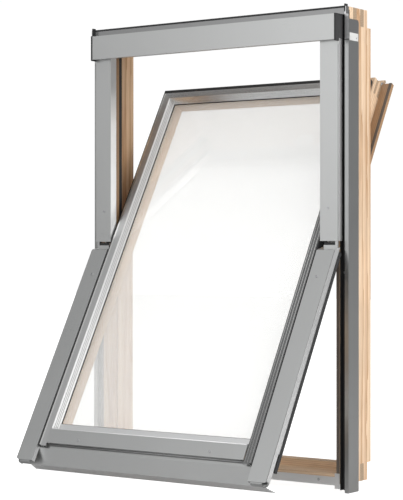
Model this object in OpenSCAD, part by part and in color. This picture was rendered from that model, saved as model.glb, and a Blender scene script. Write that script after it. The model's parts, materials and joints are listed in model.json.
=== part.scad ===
// Centre-pivot roof skylight: pine frame and sash, aluminium cladding, double glazing.
// Seen from outside, X runs across the window, -Y points out of the roof, +Z up the roof.
// The origin is on the sill rail's underside, midway across and midway through the frame's
// depth. Millimetres throughout.

/* [Frame] */
// Width over the timber stiles
frame_w = 780; // [560:1:1140]
// Height over the timber rails
frame_h = 1180; // [900:1:1400]
// Depth of the stiles, from the cladding plane to the room
frame_d = 130; // [116:1:160]
// Thickness of the stiles across the window
stile_t = 22; // [21:1:28]
// Height of the head rail and of the corner joints
rail_h = 44; // [38:1:56]
// Height of the sill rail in front of its upstand
sill_h = 25; // [20:1:30]
// Rails stop short of the stiles' room edge by this much
rail_back = 17; // [10:1:22]
// Thickness of the comb fingers
finger_t = 17.4; // [12:0.2:18]

/* [Frame cladding] */
// Thickness of the aluminium sections
sheet_t = 1.5; // [1:0.1:2]
// Gap left between the timber and the side leaf for the flashing
flashing_gap = 11.5; // [8:0.5:16]
// Width of the side section's front lip
lip_w = 11; // [8:0.5:12]
// Depth of the side leaf
leaf_d = 49; // [36:1:60]
// Width and depth of the gasket channel beside the stile's front edge
channel_w = 12; // [10:0.5:12]
channel_d = 13; // [12.5:0.5:16]
// The side sections hang below the sill by this much
foot_drop = 21; // [0:1:30]
// Height of the top corner pieces
corner_h = 50; // [30:1:60]
// Height of the band on the head, and of the seal's end knobs above it
band_h = 17; // [12:1:24]
knob_h = 8; // [6:1:12]

/* [Covers] */
// Width of the side covers
cover_w = 53; // [50:1:60]
// Height of the side covers above the frame's front plane
cover_h = 18.5; // [16:0.5:24]
// Outer edge of the covers, in from the timber's outer face
cover_inset = 5; // [4:0.5:6]
// Height of the hood's face
hood_h = 63; // [50:1:76]
// Hood's face in front of the frame's front plane
hood_out = 35; // [28:1:44]
// Hood's ends, in from the timber's outer face
hood_inset = 7; // [5:1:14]
// Lowest edge of the hood, below the head rail
hood_drop = 42; // [40:1:56]

/* [Sash] */
// Opening angle of the sash as stored
sash_open = 29.6; // [0:0.1:60]
// Pivot height above the middle of the frame
pivot_up = 13; // [6:0.5:20]
// Pivot axis in front of the frame's front plane
pivot_out = 10; // [9:0.5:11]
// Width of the sash stiles
sash_stile_w = 30; // [26:1:34]
// Gap between the sash timber and the frame stile
sash_side_gap = 33; // [30:1:36]
// Gap between the sash timber and the head rail
sash_head_gap = 36; // [32:1:44]
// Gap between the sash timber and the sill
sash_sill_gap = 7; // [6.5:0.5:10]
// Height of the sash top rail and bottom rail
sash_top_h = 40; // [34:1:50]
sash_bottom_h = 26; // [22:1:34]
// Depth of the sash timber
sash_d = 49; // [46:1:56]
// Sash timber's front, behind the frame's front plane
sash_back_off = 7; // [6:0.5:9]
// Width and thickness of the inner lip on the sash's upper half
lip_reach = 29; // [24:0.5:30]
lip_t = 10; // [8:0.5:12]

/* [Glazing] */
// Thickness of each pane
pane_t = 4; // [3:0.5:6]
// Gap between the panes
pane_gap = 16; // [12:1:17]
// Glass held in the rebate beyond the timber's inner edge
glass_bite = 10; // [8:0.5:12]
// Height of the glazing profile above the sash timber
profile_h = 24; // [22:0.5:26]
// Width of the glazing profile's flat face and of its bevel
flat_w = 17; // [14:0.5:20]
bevel_w = 11; // [8:0.5:13]

/* [Fittings] */
// Radius of the pivot pins
pin_r = 4; // [3:0.1:5]
// Radial clearance of the pins in the sash plates
pin_clear = 0.05; // [0.02:0.01:0.1]
// Radius of the control bar
bar_r = 9; // [7:0.5:10]
// Angle at which the ventilation flap stands as stored
flap_open = 30; // [0:1:34]
// Clearance between parts that move past each other
run_gap = 0.3; // [0.3:0.05:0.6]
// Head radius of the cover screws
screw_r = 3.5; // [3:0.1:4.5]

/* [Hidden] */
$fn = 48;
eps = 0.5;
half_w = frame_w / 2;
y_front = -frame_d / 2;
y_room = frame_d / 2;
y_rail = y_room - rail_back;
stile_in = half_w - stile_t;
stile_lip = half_w - channel_w;
head_z = frame_h - rail_h;
leaf_x = half_w + flashing_gap + sheet_t;
web_y = y_front + channel_d;
corner_z = frame_h - 33 - corner_h;
cover_out = half_w - cover_inset;
cover_in = cover_out - cover_w;
cover_y = y_front - cover_h;
cover_corner_r = 8;
cap_drop = 7;
cap_corner_r = 9;
hood_z = head_z - hood_drop;
hood_half = half_w - hood_inset;
hood_y = y_front - hood_out;
band_z = hood_z + hood_h;
upstand_z = band_z + band_h;
pivot_y = y_front - pivot_out;
pivot_z = frame_h / 2 + pivot_up;
sill_step_y = y_rail - 2 * finger_t;
sill_up_h = rail_h - 1;
groove_y = y_room - 75;
stop_z = pivot_z + 47;
tongue_x = cover_in + 9;
tongue_low = pivot_z - 29;
stop_x = stile_in - 28;
stop_y = y_front + 12;
stop_d = 16;
stop_seal_t = 14.5;

sash_out = stile_in - sash_side_gap;
sash_in = sash_out - sash_stile_w;
sash_y = y_front + sash_back_off;
sash_room_y = sash_y + sash_d;
sash_top = head_z - sash_head_gap;
sash_bottom = sill_h + sash_sill_gap;
sight_top = sash_top - sash_top_h;
sight_bottom = sash_bottom + sash_bottom_h;
lip_x = sash_out + lip_reach;
lip_y = sash_room_y - lip_t;
lip_z = pivot_z + 47;
profile_y = sash_y - profile_h;
bevel_y = y_front - run_gap;
bevel_in = sash_in - bevel_w;
bevel_top = sight_top - bevel_w;
band_top = sight_bottom + 6;
foot_z = sash_bottom + 10;
flat_out = sash_in + flat_w;
glass_y = y_front + 2;
inner_pane_y = glass_y + pane_t + pane_gap;
ledge_y = inner_pane_y + pane_t + 0.5;
glass_x = sash_in + glass_bite;
glass_top = sight_top + glass_bite;
glass_bottom = sight_bottom - glass_bite;
rebate_x = glass_x + 1;
rebate_top = glass_top + 1;
rebate_bottom = glass_bottom - 3;
spacer_x = sash_in - 5;
spacer_w = 7;
hinge_low = pivot_z - 30;
hinge_high = pivot_z + 44;
lower_cover_top = pivot_z - 33;
lower_cover_bevel = 17;
lower_cover_end = -47;
end_cap_t = 3;
strip_t = 2.3;
strip_y = y_front + 11;
strip_low = -12;
ridge_y = profile_y - 2.5;
ridge_low = 4;
ridge_h = 40;
side_profile_end = -4;
apron_y = profile_y + 10;
apron_high = ridge_low + 4;
apron_half = half_w - 29;
apron_bend_z = -8;
fold_y = y_front + 13;
fold_z = -46;
lip_back_y = y_front + 50;
lip_back_z = -44.5;
ridge_half = sash_in - 1;

flap_axis_y = sash_room_y - 5;
flap_axis_z = sash_top + 5;
flap_half = sash_out - 4;
flap_h = 24;
flap_t = 7;
flap_barrel_r = 3.5;
flap_pin_r = 2;
flap_pin_l = 10;
bar_out = 22;
bar_up = 15;
bar_half = flap_half - 12;
arm_xs = [-0.8 * bar_half, 0, 0.8 * bar_half];
arm_w = 14;
latch_w = 20;
latch_d = 8;
latch_y = sash_y + 18;
latch_travel = 8;
latch_h = 22;
latch_top = sash_top + 1;
case_w = 60;
case_wall = 2.2;
keeper_low = latch_top + 3;
ear_t = 3;
sash_ear_x = sash_out;
frame_ear_x = sash_ear_x + ear_t + 13;
ear_r = 6.2;
pin_end = frame_ear_x + ear_t + 2.5;
plate_back = sash_room_y - 6;
screw_h = 1.6;
cover_screw_x = cover_out - cover_w / 2 - 4;
upper_screw_z = pivot_z + 79;
lower_screw_z = pivot_z - 108;
ridge_screw_x = 204;
sill_screw_x = 318;
channel_screw_x = (stile_lip + leaf_x - lip_w) / 2;
channel_screw_z = pivot_z - 81;
clip_zs_up = [upper_screw_z, (upper_screw_z + hood_z) / 2, hood_z - 50];
clip_zs_low = [60, lower_screw_z / 2, lower_screw_z];

pine = [0.93, 0.80, 0.64];
pine_dark = [0.66, 0.50, 0.36];
alu = [0.66, 0.67, 0.67];
alu_dark = [0.45, 0.46, 0.46];
silver = [0.80, 0.81, 0.81];
black = [0.10, 0.10, 0.10];
steel = [0.70, 0.71, 0.72];
zinc = [0.82, 0.82, 0.80];
clear = [0.90, 0.95, 0.95, 0.4];

// ---------- helpers ----------

// Extrudes a plan outline (X, Y) from z0 up to z1.
module upright(z0, z1, outline) {
    translate([0, 0, z0]) linear_extrude(z1 - z0) polygon(outline);
}

// Extrudes a side outline (Y, Z) across the window, centred, over a half length.
module across(half, outline) {
    rotate([90, 0, 90]) linear_extrude(2 * half, center = true) polygon(outline);
}

// Extrudes a front outline (X, Z) from y0 back to y1.
module facing(y0, y1, outline) {
    translate([0, y1, 0]) rotate([90, 0, 0]) linear_extrude(y1 - y0) polygon(outline);
}

// A block given by its low and high corners.
module block(low, high) {
    translate(low) cube(high - low);
}

// The left-hand copy of a part drawn on the right.
module left() {
    mirror([1, 0, 0]) children();
}

// Both copies of a part drawn on the right.
module pair() {
    children();
    left() children();
}

// Turns the sash's parts, drawn closed, to their opening angle.
module opened() {
    translate([0, pivot_y, pivot_z]) rotate([-sash_open, 0, 0])
        translate([0, -pivot_y, -pivot_z]) children();
}

// Turns the flap's parts, drawn closed, about the flap's own axis.
module flap_turned() {
    translate([0, flap_axis_y, flap_axis_z]) rotate([-flap_open, 0, 0])
        translate([0, -flap_axis_y, -flap_axis_z]) children();
}

// A rod along X from x0 to x1.
module rod(x0, x1, y, z, r) {
    translate([x0, y, z]) rotate([0, 90, 0]) cylinder(h = x1 - x0, r = r);
}

// A pan-head screw whose head stands out towards -Y from a face at y.
module pan_screw(x, y, z, depth) {
    translate([x, y, z]) rotate([90, 0, 0]) difference() {
        union() {
            cylinder(h = screw_h, r = screw_r);
            translate([0, 0, -depth]) cylinder(h = depth, r = 1.6);
        }
        translate([0, 0, screw_h]) cube([4, 0.9, 1.4], center = true);
        translate([0, 0, screw_h]) cube([0.9, 4, 1.4], center = true);
    }
}

// The hole a pan-head screw's shank needs.
module screw_hole(x, y, z, depth) {
    translate([x, y + depth + eps, z]) rotate([90, 0, 0]) cylinder(h = depth + 2 * eps, r = 1.65);
}

// ---------- timber frame ----------

// Frame comb fingers that belong to the rail, cut through the stile's end.
module frame_fingers(z0, z1, z1_front) {
    block([stile_in, y_rail - 2 * finger_t, z0], [half_w, y_rail - finger_t, z1]);
    block([stile_in, y_rail - 4 * finger_t, z0], [half_w, y_rail - 3 * finger_t, z1_front]);
}

module frame_stile() {
    color(pine) difference() {
        upright(0, frame_h, [
            [stile_in, y_front], [stile_lip, y_front], [stile_lip, web_y + sheet_t],
            [half_w, web_y + sheet_t], [half_w, y_room], [stile_in + 3, y_room],
            [stile_in, y_room - 3], [stile_in, groove_y + 5], [stile_in + 4, groove_y + 5],
            [stile_in + 4, groove_y - 5], [stile_in, groove_y - 5]]);
        block([stile_in - 1, y_rail, -1], [half_w + 1, y_room + 1, rail_h]);
        block([stile_in - 1, y_rail, head_z], [half_w + 1, y_room + 1, frame_h + 1]);
        frame_fingers(head_z, frame_h + 1, frame_h + 1);
        frame_fingers(-1, sill_up_h, sill_h);
        head_rabbet();
        side_screw_holes();
    }
}

// The step along the head's front top edge, where the head cladding turns up.
module head_rabbet() {
    block([-half_w - 1, y_front - 1, upstand_z - sheet_t], [half_w + 1, y_front + 5, frame_h + 1]);
}

module frame_head_rail() {
    color(pine) difference() {
        union() {
            block([-stile_in, y_front, head_z], [stile_in, y_rail, frame_h]);
            pair() frame_fingers(head_z, frame_h, frame_h);
        }
        head_rabbet();
    }
}

module frame_sill_rail() {
    color(pine_dark) difference() {
        union() {
            across(stile_in, [
                [y_front, 0], [y_rail, 0], [y_rail, sill_up_h], [sill_step_y, sill_up_h],
                [sill_step_y, sill_h], [y_front, sill_h]]);
            pair() frame_fingers(0, sill_up_h, sill_h);
        }
        for (x = [-1, 0, 1]) screw_hole(x * sill_screw_x, y_front - sheet_t, 8, 12);
    }
}

module frame_stop() {
    color(pine_dark) block([stop_x, stop_y, stop_z], [stile_in, stop_y + stop_d, head_z]);
}

// The seals on the stops, and the one along the head cladding's top edge with its end knobs.
module frame_stop_seals() {
    color(black) {
        pair() block([stop_x + 2, stop_y + stop_d, stop_z],
            [stile_in, stop_y + stop_d + stop_seal_t, head_z]);
        block([-leaf_x + 5, y_front - sheet_t, upstand_z], [leaf_x - 5, y_front + 5, frame_h - 1]);
        pair() block([leaf_x - 5, y_front - 13, upstand_z - 11],
            [leaf_x - sheet_t, y_front - sheet_t, upstand_z + knob_h]);
    }
}

// ---------- frame cladding ----------

// Plan outline of the side section: web on the timber, leaf outside it, lip in front.
function side_section() = [
    [stile_lip + run_gap, web_y], [leaf_x - sheet_t, web_y],
    [leaf_x - sheet_t, y_front + sheet_t], [leaf_x - lip_w, y_front + sheet_t],
    [leaf_x - lip_w, y_front], [leaf_x, y_front], [leaf_x, y_front + leaf_d],
    [leaf_x - sheet_t, y_front + leaf_d], [leaf_x - sheet_t, web_y + sheet_t],
    [stile_lip + run_gap, web_y + sheet_t]];

module side_cladding() {
    color(alu) difference() {
        upright(-foot_drop, corner_z - 2, side_section());
        facing(y_front - 1, y_front + leaf_d + 1, [
            [stile_lip - 1, -foot_drop - 1], [leaf_x - lip_w, -foot_drop - 1],
            [stile_lip - 1, -foot_drop + 9]]);
        side_screw_holes();
    }
}

module corner_cladding() {
    color(alu) difference() {
        union() {
            upright(corner_z, corner_z + corner_h, side_section());
            block([leaf_x - lip_w, y_front, corner_z + corner_h - eps],
                [leaf_x, y_front + sheet_t, upstand_z]);
            block([leaf_x - lip_w, y_front - sheet_t, band_z + 1],
                [leaf_x, y_front + eps, upstand_z]);
            block([leaf_x - sheet_t, y_front - 13, band_z + 1],
                [leaf_x, y_front + eps, upstand_z + 2]);
        }
        translate([leaf_x - 2 * sheet_t, y_front + leaf_d - 8, corner_z + corner_h - 8])
            rotate([0, 90, 0]) corner_round(8, 3 * sheet_t);
    }
}

// The waste outside a quarter circle of radius r, for rounding a plate's corner.
module corner_round(r, h) {
    difference() {
        translate([-r - 1, 0, 0]) cube([r + 1, r + 1, h]);
        translate([0, 0, -1]) cylinder(h = h + 2, r = r);
    }
}

module corner_clips() {
    color(zinc) pair() difference() {
        block([leaf_x, y_front + 4.5, corner_z - 3], [leaf_x + 1, y_front + leaf_d - 4.5, corner_z + 16]);
        rod(leaf_x - eps, leaf_x + 2, y_front + leaf_d - 12, corner_z + 4, 2.2);
    }
}

module channel_gasket() {
    color(black) difference() {
        upright(-foot_drop + 6, upstand_z - 4, [
            [stile_lip + run_gap, y_front + 0.6], [stile_lip + 1.7, y_front + 0.6],
            [stile_lip + 1.7, web_y - 1.2], [leaf_x - lip_w + 6, web_y - 1.2],
            [leaf_x - lip_w + 6, web_y], [stile_lip + run_gap, web_y]]);
        translate([channel_screw_x, web_y + 1, channel_screw_z]) rotate([90, 0, 0])
            cylinder(h = 4, r = screw_r + 0.4);
    }
}

module head_cladding() {
    color(alu) across(leaf_x - lip_w, [
        [y_front - sheet_t, band_z + 1], [y_front, band_z + 1], [y_front, upstand_z - sheet_t],
        [y_front + 5, upstand_z - sheet_t], [y_front + 5, upstand_z], [y_front - sheet_t, upstand_z]]);
}

module sill_cladding() {
    color(silver) difference() {
        union() {
            across(stile_in - 3, [
                [y_front - sheet_t, -4], [y_front, -4], [y_front, 17], [y_front - sheet_t, 17]]);
            pair() block([stile_in - 4, y_front - sheet_t, -12],
                [stile_lip, y_front, sill_h + 1]);
        }
        for (x = [-1, 0, 1]) screw_hole(x * sill_screw_x, y_front - sheet_t, 8, 12);
    }
}

// ---------- hood and upper covers ----------

module hood() {
    color(alu) difference() {
        across(hood_half, [
            [hood_y, hood_z], [cover_y, hood_z], [cover_y, hood_z + sheet_t],
            [hood_y + sheet_t, hood_z + sheet_t], [hood_y + sheet_t, band_z - sheet_t],
            [y_front, band_z - sheet_t], [y_front, band_z + 1], [y_front - sheet_t, band_z + 1],
            [y_front - sheet_t, band_z], [hood_y, band_z]]);
        for (x = [-1, 1]) screw_hole(x * 0.85 * stile_in, y_front - sheet_t, band_z + 20, 12);
    }
    color(alu) for (x = [-0.8, 0, 0.8])
        block([x * stile_in - 15, hood_y + sheet_t, head_z + 4],
            [x * stile_in + 15, y_front, head_z + 4 + sheet_t]);
}

module hood_end_caps() {
    color(black) pair() difference() {
        union() {
            block([hood_half, hood_y - 1, hood_z - 3], [hood_half + 4, y_front + 0, band_z + 1]);
            block([hood_half - 8, hood_y + sheet_t, hood_z + sheet_t],
                [hood_half, y_front - 3, band_z - sheet_t]);
        }
        block([hood_half - 9, hood_y + sheet_t + 2, hood_z + sheet_t + 2],
            [hood_half - eps, y_front - 5, band_z - sheet_t - 2]);
        block([cover_in - 1, cover_y, hood_z - 4], [half_w, y_front + 1, hood_z + 4.3]);
    }
}

// Plan outline of a side cover; the inner wall runs back to y_in, the outer wall to y_out.
function cover_section(y_in, y_out) = [
    [cover_in, y_in], [cover_in, cover_y], [cover_out, cover_y], [cover_out, y_out],
    [cover_out - sheet_t, y_out], [cover_out - sheet_t, cover_y + sheet_t],
    [cover_in + sheet_t, cover_y + sheet_t], [cover_in + sheet_t, y_in]];

// The cover ends in a set-back tongue that closes the gap at the pivot.
module upper_cover() {
    color(alu) difference() {
        union() {
            upright(pivot_z - 3, hood_z + 4, cover_section(sash_y - 1.5, y_front));
            block([tongue_x, cover_y + 3, tongue_low], [cover_out - 2.2, cover_y + 3 + sheet_t, pivot_z - 13]);
            block([cover_out - 11, cover_y + 3, tongue_low], [cover_out - 2.2, cover_y + 3 + sheet_t, pivot_z]);
            block([cover_out - 11, cover_y + 3, pivot_z - 3 + eps],
                [cover_out - eps, cover_y + 3 + sheet_t, pivot_z + 9]);
        }
        screw_hole(cover_screw_x, cover_y, upper_screw_z, 8);
    }
}

module upper_cover_clips() {
    color(black) pair() for (z = clip_zs_up) difference() {
        upright(z - 9, z + 9, [
            [stile_in - 24, cover_y + sheet_t], [stile_lip - 1, cover_y + sheet_t],
            [stile_lip - 1, y_front], [stile_in + 1, y_front], [stile_in - 8, y_front - 4],
            [stile_in - 8, cover_y + sheet_t + 5], [stile_in - 24, cover_y + sheet_t + 5]]);
        screw_hole(cover_screw_x, cover_y, z, 8);
    }
    color(black) pair() block([tongue_x, cover_y + 3 + sheet_t, pivot_z - 18],
        [cover_out - 11, cover_y + 4 + sheet_t, pivot_z - ear_r - run_gap]);
}

// ---------- hinges ----------

// Side outline (Y, Z) of a hinge arm reaching from the pivot back to a plate.
module ear(x0, x1, back, low) {
    rod(x0, x1, pivot_y, pivot_z, ear_r);
    block([x0, pivot_y, pivot_z + low], [x1, back, pivot_z + ear_r]);
}

module hinge_sash() {
    color(steel) difference() {
        union() {
            ear(sash_ear_x, sash_ear_x + ear_t, sash_y + 2, -1);
            block([sash_ear_x, sash_y + 2, hinge_low], [sash_ear_x + ear_t, plate_back, hinge_high]);
        }
        rod(sash_ear_x - 1, sash_ear_x + ear_t + 1, pivot_y, pivot_z, pin_r + pin_clear);
    }
}

module hinge_frame() {
    color(zinc) difference() {
        union() {
            ear(frame_ear_x, frame_ear_x + ear_t, y_front + 8, -ear_r);
            block([frame_ear_x, y_front + 5, pivot_z - ear_r], [stile_in, y_front + 8, pivot_z + ear_r]);
            block([stile_in - 2.5, y_front + 5, hinge_low], [stile_in, y_front + 34, hinge_high]);
        }
        rod(frame_ear_x - 1, frame_ear_x + ear_t + 1, pivot_y, pivot_z, pin_r);
    }
}

module pivot_pins() {
    color(steel) pair() {
        rod(sash_ear_x, pin_end, pivot_y, pivot_z, pin_r);
        rod(frame_ear_x + ear_t, pin_end, pivot_y, pivot_z, ear_r);
    }
}

module friction_discs() {
    color(black) pair() difference() {
        rod(sash_ear_x + ear_t + run_gap, frame_ear_x, pivot_y, pivot_z, ear_r);
        rod(sash_ear_x, frame_ear_x + 1, pivot_y, pivot_z, pin_r);
    }
}

module latch_keeper() {
    color(zinc) difference() {
        block([-latch_w, latch_y - 10, keeper_low], [latch_w, latch_y + latch_d + 2, head_z]);
        block([-latch_w / 2 - run_gap, latch_y - run_gap - 3, keeper_low - 1],
            [latch_w / 2 + run_gap, latch_y + latch_d / 2 + run_gap + 1, keeper_low + 12]);
    }
}

module frame_screws() {
    color(steel) {
        pair() pan_screw(cover_screw_x, cover_y, upper_screw_z, 8);
        for (x = [-1, 0, 1]) pan_screw(x * sill_screw_x, y_front - sheet_t, 8, 11);
        pair() pan_screw(channel_screw_x, web_y, channel_screw_z, 8);
    }
}

// The holes that the side sections' screws need.
module side_screw_holes() {
    screw_hole(channel_screw_x, web_y, channel_screw_z, 9);
}

// ---------- sash timber ----------

// The glass rebate all four sash timbers share.
module sash_rebate() {
    block([-rebate_x, sash_y - 1, rebate_bottom], [rebate_x, ledge_y, rebate_top]);
}

// Sash comb fingers that belong to the rails.
module sash_fingers(z0, z1) {
    for (i = [1, 3])
        block([sash_in, sash_y + i * sash_d / 5, z0], [sash_out, sash_y + (i + 1) * sash_d / 5, z1]);
}

module sash_stile() {
    color(pine) difference() {
        block([sash_in, sash_y, sash_bottom], [sash_out, sash_room_y, sash_top]);
        sash_rebate();
        sash_fingers(sight_top, sash_top + 1);
        sash_fingers(sash_bottom - 1, sight_bottom);
    }
}

module sash_rail(z0, z1) {
    difference() {
        union() {
            block([-sash_in, sash_y, z0], [sash_in, sash_room_y, z1]);
            pair() sash_fingers(z0, z1);
        }
        sash_rebate();
    }
}

module sash_top_rail() {
    color(pine) difference() {
        sash_rail(sight_top, sash_top);
        block([-case_w / 2, latch_y - case_wall, sash_top - latch_h - case_wall],
            [case_w / 2, latch_y + latch_d + case_wall, sash_top + 1]);
    }
}

module sash_bottom_rail() {
    color(pine) sash_rail(sash_bottom, sight_bottom);
}

module sash_lip() {
    color(pine_dark) block([sash_out, lip_y, lip_z], [lip_x, sash_room_y, sash_top + 6]);
}

module sash_lip_gaskets() {
    color(black) pair() block([lip_x - 8, lip_y - 2, lip_z], [lip_x - 0.5, lip_y, sash_top + 6]);
}

// Front part only of what hangs below the sash timber, so that it passes the sill.
module below_timber() {
    block([-half_w, y_front - 3.8, -100], [half_w, y_room, sash_bottom]);
}

// The space behind the apron, below its top edge.
module behind_apron() {
    block([-half_w, apron_y, -100], [half_w, y_room, apron_high + 1]);
}

module sash_seal() {
    color(black) difference() {
        block([-cover_in + sheet_t, profile_y + 1, side_profile_end],
            [cover_in - sheet_t, sash_y, sight_top + flat_w + 10]);
        block([-flat_out, profile_y, side_profile_end - 1],
            [flat_out, sash_y + 1, sight_top + flat_w]);
        behind_apron();
        below_timber();
    }
}

// ---------- glazing ----------

module pane(y) {
    color(clear) block([-glass_x, y, glass_bottom], [glass_x, y + pane_t, glass_top]);
}

module pane_spacer() {
    color(silver) difference() {
        block([-spacer_x - spacer_w, glass_y + pane_t, sight_bottom - 2],
            [spacer_x + spacer_w, inner_pane_y, sight_top + 2]);
        block([-spacer_x, glass_y, sight_bottom + 5], [spacer_x, inner_pane_y + 1, sight_top - 5]);
    }
}

module edge_seal() {
    color(black) difference() {
        block([-glass_x, glass_y + pane_t, glass_bottom], [glass_x, inner_pane_y, glass_top]);
        block([-spacer_x - spacer_w, glass_y, sight_bottom - 2],
            [spacer_x + spacer_w, inner_pane_y + 1, sight_top + 2]);
    }
}

module glazing_tape() {
    color(black) {
        difference() {
            block([-glass_x, inner_pane_y + pane_t, glass_bottom], [glass_x, ledge_y, glass_top]);
            block([-sash_in - 1, inner_pane_y, sight_bottom - 1],
                [sash_in + 1, ledge_y + 1, sight_top + 1]);
        }
        difference() {
            block([-bevel_in - 6, bevel_y, band_top - 6], [bevel_in + 6, glass_y, bevel_top + 6]);
            block([-bevel_in, bevel_y - 1, band_top], [bevel_in, glass_y + 1, bevel_top]);
            below_timber();
        }
    }
}

module setting_blocks() {
    color(black) for (x = [-0.75, 0.75])
        block([x * glass_x - 30, glass_y, rebate_bottom], [x * glass_x + 30, ledge_y, glass_bottom]);
}

// Outline of the glazing profile, as [distance out from the sight line, Y].
function profile_section() = [
    [flat_w, sash_y], [flat_w, profile_y], [0, profile_y], [-bevel_w, bevel_y],
    [-bevel_w + 1.8, bevel_y], [0.8, profile_y + sheet_t], [flat_w - sheet_t, profile_y + sheet_t],
    [flat_w - sheet_t, sash_y]];

module glazing_profile_side() {
    color(silver) difference() {
        upright(side_profile_end, sight_top + flat_w, [for (p = profile_section()) [sash_in + p[0], p[1]]]);
        facing(profile_y - 1, sash_y + 1, [
            [sash_in - 40, sight_top - 40], [sash_in + 40, sight_top + 40],
            [sash_in - 40, sight_top + 40]]);
        block([sash_in - 40, profile_y - 1, side_profile_end - 1], [sash_in, sash_y + 1, ridge_low + 4]);
        behind_apron();
        below_timber();
    }
}

module glazing_profile_top() {
    color(silver) intersection() {
        across(flat_out, [for (p = profile_section()) [p[1], sight_top + p[0]]]);
        facing(profile_y - 1, sash_y + 1, [
            [-sash_in - 40, sight_top + 40], [-sash_in + 40, sight_top - 40],
            [sash_in - 40, sight_top - 40], [sash_in + 40, sight_top + 40]]);
    }
}

module glazing_profile_bottom() {
    color(silver) across(bevel_in - run_gap, [
        [bevel_y - sheet_t, band_top], [bevel_y, band_top], [bevel_y, foot_z + sheet_t],
        [sash_y, foot_z + sheet_t], [sash_y, foot_z], [bevel_y - sheet_t, foot_z]]);
}

// ---------- sash cladding ----------

module bottom_cover() {
    color(alu) difference() {
        union() {
            across(bevel_in - run_gap, [
                [bevel_y - sheet_t, band_top - 13], [ridge_y, ridge_low + ridge_h], [ridge_y, ridge_low],
                [apron_y, ridge_low], [apron_y, ridge_low + sheet_t],
                [ridge_y + sheet_t, ridge_low + sheet_t], [ridge_y + sheet_t, ridge_low + ridge_h - 1],
                [bevel_y - sheet_t, band_top - 14.6]]);
            block([-ridge_half, ridge_y, ridge_low], [ridge_half, ridge_y + sheet_t, ridge_low + ridge_h]);
        }
        for (x = [-1, 1]) screw_hole(x * ridge_screw_x, ridge_y, ridge_low + 13, 6);
    }
}

module bottom_apron() {
    color(alu) {
        across(bevel_in - run_gap, [
            [apron_y, apron_high - eps], [apron_y, foot_z - 2], [sash_y, foot_z - 2],
            [sash_y, foot_z - 2 - sheet_t], [apron_y + sheet_t, foot_z - 2 - sheet_t],
            [apron_y + sheet_t, apron_high - eps]]);
        intersection() {
            across(half_w, [
                [apron_y, apron_high], [apron_y, apron_bend_z], [fold_y, fold_z], [lip_back_y, lip_back_z],
                [lip_back_y, lip_back_z + 1.5], [fold_y + 0.9, fold_z + 1.5],
                [apron_y + sheet_t, apron_bend_z + 0.5], [apron_y + sheet_t, apron_high]]);
            linear_extrude(4 * rail_h, center = true) polygon([
                [-apron_half, apron_y - 1], [apron_half, apron_y - 1], [apron_half, fold_y],
                [apron_half + 10, lip_back_y + 1], [-apron_half - 10, lip_back_y + 1],
                [-apron_half, fold_y]]);
        }
    }
}

// The waste outside a quarter circle at a lower outer corner.
module corner_waste(r) {
    rotate([90, 0, 0]) difference() {
        translate([0, -r - 1, 0]) cube([r + 1, r + 1, 2 * frame_d]);
        translate([0, 0, -1]) cylinder(h = 2 * frame_d + 2, r = r);
    }
}

module cover_corner() {
    translate([cover_out - cover_corner_r, y_room, lower_cover_end + cover_corner_r])
        corner_waste(cover_corner_r);
}

module lower_cover() {
    color(alu) difference() {
        upright(lower_cover_end, lower_cover_top + 2 * lower_cover_bevel,
            cover_section(sash_y, y_front - run_gap));
        across(half_w, [
            [cover_y - 1, lower_cover_top - 1], [cover_y - 1, lower_cover_top + 3 * lower_cover_bevel],
            [sash_y + 1, lower_cover_top + 3 * lower_cover_bevel],
            [sash_y + 1, lower_cover_top + lower_cover_bevel + 8]]);
        block([cover_in - 1, apron_y, lower_cover_end - 1], [cover_out - 9, y_room, apron_high + 1]);
        cover_corner();
        below_timber();
        screw_hole(cover_screw_x, cover_y, lower_screw_z, 6);
    }
}

module lower_cover_caps() {
    color(alu_dark) pair() difference() {
        union() {
            block([cover_in + 8, cover_y + sheet_t, lower_cover_end - cap_drop],
                [cover_out - 13, apron_y, lower_cover_end + 8]);
            block([cover_out - 14, cover_y + 8, lower_cover_end - cap_drop],
                [cover_out - sheet_t, y_front - 3.8, lower_cover_end + 14]);
        }
        translate([cover_out - sheet_t - cap_corner_r, y_room, lower_cover_end - cap_drop + cap_corner_r])
            corner_waste(cap_corner_r);
        translate([0, cover_y + sheet_t + 5, lower_cover_end - 1])
            rotate([90, 0, 90]) translate([0, 0, -1]) cap_round();
    }
}

// The waste below a cap's rounded front edge.
module cap_round() {
    difference() {
        translate([-7, -6, 0]) cube([7, 6, half_w + 10]);
        translate([0, 0, -1]) cylinder(h = half_w + 12, r = 5);
    }
}

// Plan outline of a clip that ties the lower cover to the sash stile.
module lower_cover_clips() {
    color(black) pair() for (z = clip_zs_low) difference() {
        upright(z - 9, z + 9, [
            [cover_in + sheet_t, cover_y + sheet_t], [cover_out - 12, cover_y + sheet_t],
            [cover_out - 12, cover_y + sheet_t + 5], [sash_out + 3, cover_y + sheet_t + 5],
            [sash_out + 3, sash_y + 24], [sash_out, sash_y + 24], [sash_out, sash_y],
            [cover_in + sheet_t, sash_y]]);
        screw_hole(cover_screw_x, cover_y, z, 6);
    }
}

module lower_cover_strips() {
    color(black) pair() block([stile_lip + 2, y_front - run_gap, strip_low],
        [stile_lip + 8, strip_y, pivot_z - 28]);
}

module sash_screws() {
    color(steel) {
        pair() pan_screw(cover_screw_x, cover_y, lower_screw_z, 6);
        for (x = [-1, 1]) pan_screw(x * ridge_screw_x, ridge_y, ridge_low + 13, 4);
    }
}

// ---------- lock, flap and control bar ----------

module lock_case() {
    color(zinc) difference() {
        block([-case_w / 2, latch_y - case_wall, sash_top - latch_h - case_wall],
            [case_w / 2, latch_y + latch_d + case_wall, sash_top]);
        block([-latch_w / 2 - run_gap, latch_y - run_gap, sash_top - latch_h],
            [latch_w / 2 + run_gap, latch_y + latch_d + run_gap, sash_top + 1]);
    }
}

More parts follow.
